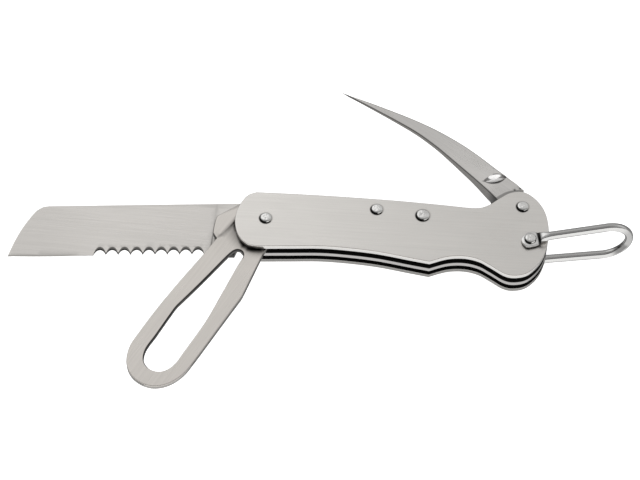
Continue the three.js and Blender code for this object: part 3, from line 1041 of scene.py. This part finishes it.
# Where the kick's two notches are painted as dark spots; the surface is not dented there
KICK_DENTS = [(7.2, -4.9), (6.1, -6.6)]
SPIKE_MIDDLE = [(0, -1), (15, -3.5), (30, -5.8), (45, -5.8), (60, -3.9), (75, -1.2), (82, -0.1)]

spike_middle_y = line_through(SPIKE_MIDDLE)
concave_y = line_through(curve(SPIKE_CONCAVE)[::-1])


def in_spike(x, y):
    """Where handle points lie in the spike's own frame."""
    return unturned(x, y, SPIKE_ANGLE, SPIKE_PIVOT)


def from_spike(points):
    """Points of the spike's own frame, on the handle."""
    return turned(points, SPIKE_ANGLE, SPIKE_PIVOT)


def in_nick(a, b):
    """Where a point is along the nail nick, and across it: 0 on its tang side, 1 on its other side."""
    right, up = a - NICK_START[0], b - NICK_START[1]
    u = (right * NICK_ALONG[0] + up * NICK_ALONG[1]) / NICK_LENGTH
    v = right * NICK_ACROSS[0] + up * NICK_ACROSS[1]
    bulge = np.maximum(4 * u * (1 - u), 1e-3)
    return u, (v / bulge + NICK_TANG_SIDE) / NICK_WIDTH


def nick_line(share, steps=24):
    """A line along the nick, at a share of its width."""
    line = []
    for k in range(steps + 1):
        u = k / steps
        v = (NICK_WIDTH * share - NICK_TANG_SIDE) * 4 * u * (1 - u)
        line.append(NICK_START + NICK_ALONG * u * NICK_LENGTH + NICK_ACROSS * v)
    return from_spike(line)


def nick_depth(a, b):
    """A flat floor between a steep wall and a sloping one."""
    u, t = in_nick(a, b)
    inside = (u > 0) & (u < 1) & (t > 0) & (t < 1)
    walls = np.minimum(np.minimum(t / STEEP_SHARE, (1 - t) / SLOPING_SHARE), 1)
    return np.where(inside, NICK_DEPTH * walls * smooth(4 * u * (1 - u), 0, 0.25), 0)


def cut_into_faces(piece):
    """Gives the faces of the nail nick the piece's third material, a lighter copy of its steel that paints a
    highlight.
    """
    for face in piece.data.polygons:
        x, y, _ = face.center / MM
        u, t = in_nick(*in_spike([x], [y]))
        if face.normal.z > 0 and 0.03 < u[0] < 0.97 and 0 < t[0] < 1:
            face.material_index = 2


def make_spike():
    """Square at the tang, tapering to a point: flat front, crisp lower ridge, rounded back."""
    low, high = layer("marlinspike")
    middle, half = (low + high) / 2, (high - low) / 2
    taper = line_through(
        curve([(13, half + 0.1), (21, 2.3), (28, 1.85), (37, 1.45), (50, 1.2), (62, 0.95), (82.8, 0.3)])
    )

    def half_at(a):
        return np.minimum(half, taper(a))

    def front(x, y, d):
        a, b = in_spike(x, y)
        convex = (b < spike_middle_y(a)) & (a > 10)
        radius = np.minimum(np.where(convex, 0.55, 0.14), half_at(a) * 0.6)
        return middle + half_at(a) - round_over(d, radius) - nick_depth(a, b)

    def back(x, y, d):
        a, _ = in_spike(x, y)
        radius = np.where(a > 12, np.minimum(1.1, half_at(a) * 0.8), 0.2)
        return middle - half_at(a) + round_over(d, radius)

    outline = from_spike(spike_outline())
    nick_lines = [nick_line(share) for share in (-0.38, -0.22, 0.03, 0.12, 0.4, 0.66, 0.85, 1, 1.04, 1.2)]
    dent_rings = [from_spike(circle(spot, radius, 12)) for spot in KICK_DENTS for radius in (0.2, 0.5)]
    beside_hump = [inset(SCALE_RIM, -out) for out in (1.5, 1.8, 2.05)]
    piece = relief(
        "marlinspike_body",
        [outline, circle(SPIKE_PIVOT, RUNNING_HOLE)],
        front,
        back,
        rings=[0.04, 0.14, 0.3, 0.55, 0.85, 1.1],
        features=[*nick_lines, *dent_rings, *(line[within(line, [outline])] for line in beside_hump)],
        grid=1.0,
        sharp_degrees=34,
        wall_rows=(0.1,),
    )

    def shade_and_grime(x, y, z):
        a, b = in_spike(x, y)
        u, t = in_nick(a, b)
        by_nick = (u > 0) & (u < 1) & (z > middle)
        upper = z > front(x, y, 0) - 0.05
        # Painted shade and shadow in and round the nail nick: a shadow along its tang side, a greyer floor,
        # and a dark line beyond its other side
        shadow = np.where(by_nick & (t < 0.05), 0.85 * smooth(t, -0.38, -0.22), 0)
        floor = np.where(by_nick & (t > 0.05) & (t < 0.7), 0.45 * fade(t, 0.3, 0.62), 0)
        beyond = np.where(by_nick & (t > 1.02) & (u > 0.5), 0.85 * fade(t, 1.05, 1.2), 0)
        # Painted shade along the crisp lower ridge, and a painted shadow beside the hump, where the spike
        # meets the handle
        ridge = 0.85 * fade(np.abs(b - concave_y(a)), 0.15, 0.4) * (a > 8) * upper
        hump = 0.5 * fade(gap_to(SCALE_RIM, x, y), 1.8, 2.05) * upper
        # Painted shade of the kick's two notches, which the surface doesn't have
        dents = [np.exp(-(np.hypot(a - spot[0], b - spot[1]) ** 2) / 0.16) for spot in KICK_DENTS]
        # Painted shade at the root, on the ridge side
        root = 0.9 * fade(a, 10, 15) * (b > concave_y(a) - 0.1)
        # Darker towards the tip
        faint_darkening = 0.1 * smooth(a, 22, 60)
        return np.max([faint_darkening, shadow, floor, beyond, ridge, hump, root, *dents], axis=0)

    paint_shade_and_grime(piece, shade_and_grime)
    cut_into_faces(piece)
    satin = steel("spike_satin", (0.6, 0.585, 0.565), 0.3, SPIKE_ANGLE, 0.9, 1.5, pits=1.0, depth=0.005)
    # Painted shade: the spike's walls get a darker copy of its steel
    edge = steel("spike_edge_painted_shade", (0.18, 0.172, 0.162), 0.3, SPIKE_ANGLE, mottle=1.6)
    # Painted highlight: a lighter, smoother copy of the spike's steel on the nail nick's faces
    nick_highlight = steel("nick_painted_highlight", (0.88, 0.87, 0.86), 0.2, SPIKE_ANGLE, brushing=0.5)
    dress(piece, "spike", "spike_steel", "marlinspike", satin, edge, nick_highlight)


# ---------------------------------------------------------------- bail
# Its own frame has its pivot at the origin, its arms along +X and its middle plane at z 0

WIRE = 1.447  # its radius
WIRE_Y = -0.3
EYE_Z = 5.65
ARM_X = 8
ARM_Z = 7.23
BEND_X = 26.75
BEND_Z = 8.3
ARM_STEPS = 13
BEND_STEPS = 32
BAIL_CREASE = 40


def bail_section(x, y_low, y_high, z, thick, power, heading=0.0):
    """One ring of the bail: a rounded box that becomes a circle as its power falls to 2."""
    sides = 40
    angles = np.linspace(0, 2 * math.pi, sides, endpoint=False)
    c, s = np.cos(angles), np.sin(angles)
    flat = np.sign(c) * np.abs(c) ** (2 / power) * (y_high - y_low) / 2 + (y_high + y_low) / 2
    deep = np.sign(s) * np.abs(s) ** (2 / power) * thick
    return np.column_stack([x - deep * math.sin(heading), flat, z + deep * math.cos(heading)])


def wire_section(x, z, heading):
    return bail_section(x, WIRE_Y - WIRE, WIRE_Y + WIRE, z, WIRE, 2, heading)


def arm_z(x):
    """The height of the middle of the front arm's wire."""
    return ARM_Z + (BEND_Z - ARM_Z) * (x - ARM_X) / (BEND_X - ARM_X)


def make_bail():
    """Round wire, flattened at both ends into eyes that lie on the scales and step out to the arms."""
    # Each station is x, the lowest and highest y, z, half the thickness, and the power
    eye = [
        (-3.05, -0.5, 0.2, EYE_Z, 0.3, 3), (-2.95, -1.2, 0.7, EYE_Z, 0.5, 4),
        (-2.6, -1.9, 1.2, EYE_Z, 0.58, 5), (-2, -2.9, 1.8, EYE_Z, 0.6, 6), (-1.2, -3.1, 2.4, EYE_Z, 0.6, 6),
        (-0.2, -3.1, 2.9, EYE_Z, 0.6, 6), (1.2, -2.95, 2.9, EYE_Z, 0.6, 6), (2.2, -2.7, 2.7, EYE_Z, 0.6, 6),
        (2.7, -2.5, 2.4, EYE_Z, 0.62, 5), (2.95, -2.35, 2.0, EYE_Z + 0.25, 0.85, 4.5),
        (3.2, -2.2, 1.7, EYE_Z + 0.7, 1.1, 4), (3.6, -2.05, 1.5, EYE_Z + 1.05, 1.25, 3.5),
        (4.3, -1.95, 1.35, EYE_Z + 1.3, 1.35, 3),
        (5.2, -1.85, 1.25, ARM_Z - 0.18, 1.4, 2.5), (6.5, -1.77, 1.17, ARM_Z - 0.08, 1.44, 2.1),
        (ARM_X, WIRE_Y - WIRE, WIRE_Y + WIRE, ARM_Z, WIRE, 2),
    ]  # fmt: skip
    slope = math.atan2(BEND_Z - ARM_Z, BEND_X - ARM_X)
    arm_xs = np.linspace(ARM_X, BEND_X, ARM_STEPS + 1)[1:-1]
    front_half = [bail_section(*station) for station in eye]
    front_half += [wire_section(x, arm_z(x), slope) for x in arm_xs]
    bend = [
        wire_section(BEND_X + BEND_Z * math.sin(turn), BEND_Z * math.cos(turn), -turn)
        for turn in np.linspace(0, math.pi, BEND_STEPS + 1)
    ]
    rear_half = [ring * (1, 1, -1) for ring in front_half[::-1]]
    piece = skin("bail_wire", front_half + bend + rear_half, BAIL_CREASE)
    drill(piece, RUNNING_HOLE, BEND_Z, BAIL_CREASE)

    def shade_and_grime(x, y, z):
        out = np.abs(z)
        turn = np.degrees(np.arctan2(x - BEND_X, z))
        around = np.degrees(np.arctan2(z - arm_z(x) * np.sign(z), WIRE_Y - y))
        on_arm = (x > 6) * (x < BEND_X)
        on_bend = x > BEND_X
        inner = np.hypot(x - BEND_X, z) < BEND_Z
        # Painted shade and dark reflections on the polished wire: under the eyes, at the step up to the arms,
        # a band along each arm, a darker top, and patches round the bend
        under_eye = 0.95 * fade(out, EYE_Z - 0.35, EYE_Z + 0.15) * (x < 4)
        step = 0.95 * smooth(x, 2.5, 2.75) * fade(x, 3.3, 3.7) * (out > EYE_Z - 0.2)
        limb = 0.45 * fade(np.abs(around + 20), 12, 30) * on_arm
        crown = 0.3 * smooth(around, 52, 70) * (x > 6) * (x < BEND_X + 3)
        shoulder = 0.7 * smooth(turn, 5, 30) * fade(turn, 45, 70) * (y > WIRE_Y) * on_bend
        end = 0.3 * smooth(turn, 30, 60) * fade(turn, 110, 140) * on_bend
        crook = 0.65 * smooth(turn, 95, 115) * fade(turn, 140, 165) * inner * on_bend
        return np.max([under_eye, step, limb, crown, shoulder, end, crook], axis=0)

    paint_shade_and_grime(piece, shade_and_grime)
    piece.data.transform(move(*BAIL_PIVOT, MID_Z) @ Matrix.Rotation(math.radians(BAIL_ANGLE), 4, "Z"))
    dress(piece, "bail", "polished_wire", "bail", polished)


# ---------------------------------------------------------------- assembly

make_scale("front_scale", True)
make_scale("rear_scale", False)
liner_pins = [BLADE_PIVOT, *SPRING_PINS, BAIL_PIVOT]
make_inner_plate("center_liner", liner_outline(), liner_pins, "liner_steel", liner_face)
for spring in ("blade_backspring", "key_backspring"):
    make_inner_plate(spring, spring_outline(), SPRING_PINS, "spring_steel", spring_face)
for collar in ("blade_slot_spacer", "key_slot_spacer"):
    make_spacer(collar)
for rivet in RIVETS:
    make_rivet(rivet)
make_blade()
make_key()
make_spike()
make_bail()

# ---------------------------------------------------------------- floor, light and camera, in metres

# Brightness round the handle's long axis, in degrees: 0 is the front horizon, 90 overhead, -90 underneath
TENT = [
    (-180, 0.28), (-130, 0.3), (-104, 0.4), (-84, 0.85), (-50, 0.92), (-12, 0.95), (39, 0.95), (46, 0.05),
    (55, 0.05), (62, 0.28), (98, 0.36), (108, 0.6), (150, 0.56), (180, 0.28),
]  # fmt: skip
TENT_STRENGTH = 1.25
FLOOR_REACH = 4
FLOOR_GAP = 0.0004
CAMERA_AZIMUTH = math.radians(5.8)
CAMERA_ELEVATION = math.radians(56)
CAMERA_DISTANCE = 0.75
CAMERA_TARGET = Vector((-0.024, -0.0072, 0.0099))


def make_floor():
    """A pale floor just under the object. Polished faces don't mirror it."""
    low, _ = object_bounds()
    mesh = bpy.data.meshes.new("floor")
    corners = [(-1, -1), (1, -1), (1, 1), (-1, 1)]
    level = low.z - FLOOR_GAP
    mesh.from_pydata([(x * FLOOR_REACH, y * FLOOR_REACH, level) for x, y in corners], [], [(0, 1, 2, 3)])
    floor = add_object("floor", mesh)
    s = Shader("pale_floor")
    s.surface.inputs["Base Color"].default_value = (0.9, 0.9, 0.9, 1)
    s.surface.inputs["Roughness"].default_value = 0.9
    s.surface.inputs["Specular IOR Level"].default_value = 0.1
    s.surface.inputs["Emission Color"].default_value = (1, 1, 1, 1)
    s.surface.inputs["Emission Strength"].default_value = 0.9
    mesh.materials.append(s.material)
    floor.visible_glossy = False


def make_light_tent():
    """Soft light all round: white in front, a dark gap above that, grey overhead and behind, and a dim room
    behind and below. The colour depends only on the angle about the handle's long axis."""
    world = bpy.data.worlds.new("light_tent")
    bpy.context.scene.world = world
    world.use_nodes = True
    sky = Nodes(world.node_tree)
    direction = sky.node("ShaderNodeTexCoord").outputs["Generated"]
    forwards = sky.math("MULTIPLY", sky.axis(direction, "Y"), -1)
    angle = sky.math("ARCTAN2", sky.axis(direction, "Z"), forwards)
    ramp = sky.node("ShaderNodeValToRGB")
    sky.join(sky.remap(angle, -math.pi, math.pi, 0, 1), ramp.inputs["Fac"])
    elements = ramp.color_ramp.elements
    while len(elements) < len(TENT):
        elements.new(0.5)
    for element, (degrees, value) in zip(elements, TENT):
        element.position = (degrees + 180) / 360
        element.color = (value, value, value, 1)
    background = sky.tree.nodes["Background"]
    background.inputs["Strength"].default_value = TENT_STRENGTH
    sky.join(ramp.outputs["Color"], background.inputs["Color"])


def make_softbox():
    """One large soft light behind and above the blade end."""
    light = bpy.data.lights.new("softbox", "AREA")
    light.shape = "RECTANGLE"
    light.size, light.size_y = 0.5, 0.4
    light.energy = 0.3
    lamp = add_object("softbox", light)
    lamp.location = (-0.28, 0.34, 0.5)
    lamp.rotation_euler = (Vector((-0.02, 0, 0)) - lamp.location).to_track_quat("-Z", "Y").to_euler()


def make_camera():
    """Looks down on the front of the handle, a little from the right, through a long lens."""
    level = math.cos(CAMERA_ELEVATION)
    look = Vector(
        (-math.sin(CAMERA_AZIMUTH) * level, math.cos(CAMERA_AZIMUTH) * level, -math.sin(CAMERA_ELEVATION))
    )
    data = bpy.data.cameras.new("camera")
    data.lens = 123.2
    data.sensor_width = 36
    data.clip_start = 0.01
    camera = add_object("camera", data)
    camera.location = CAMERA_TARGET - look * CAMERA_DISTANCE
    camera.rotation_euler = look.to_track_quat("-Z", "Y").to_euler()
    bpy.context.scene.camera = camera


make_floor()
make_light_tent()
make_softbox()
make_camera()
bpy.context.scene.view_settings.view_transform = "Standard"
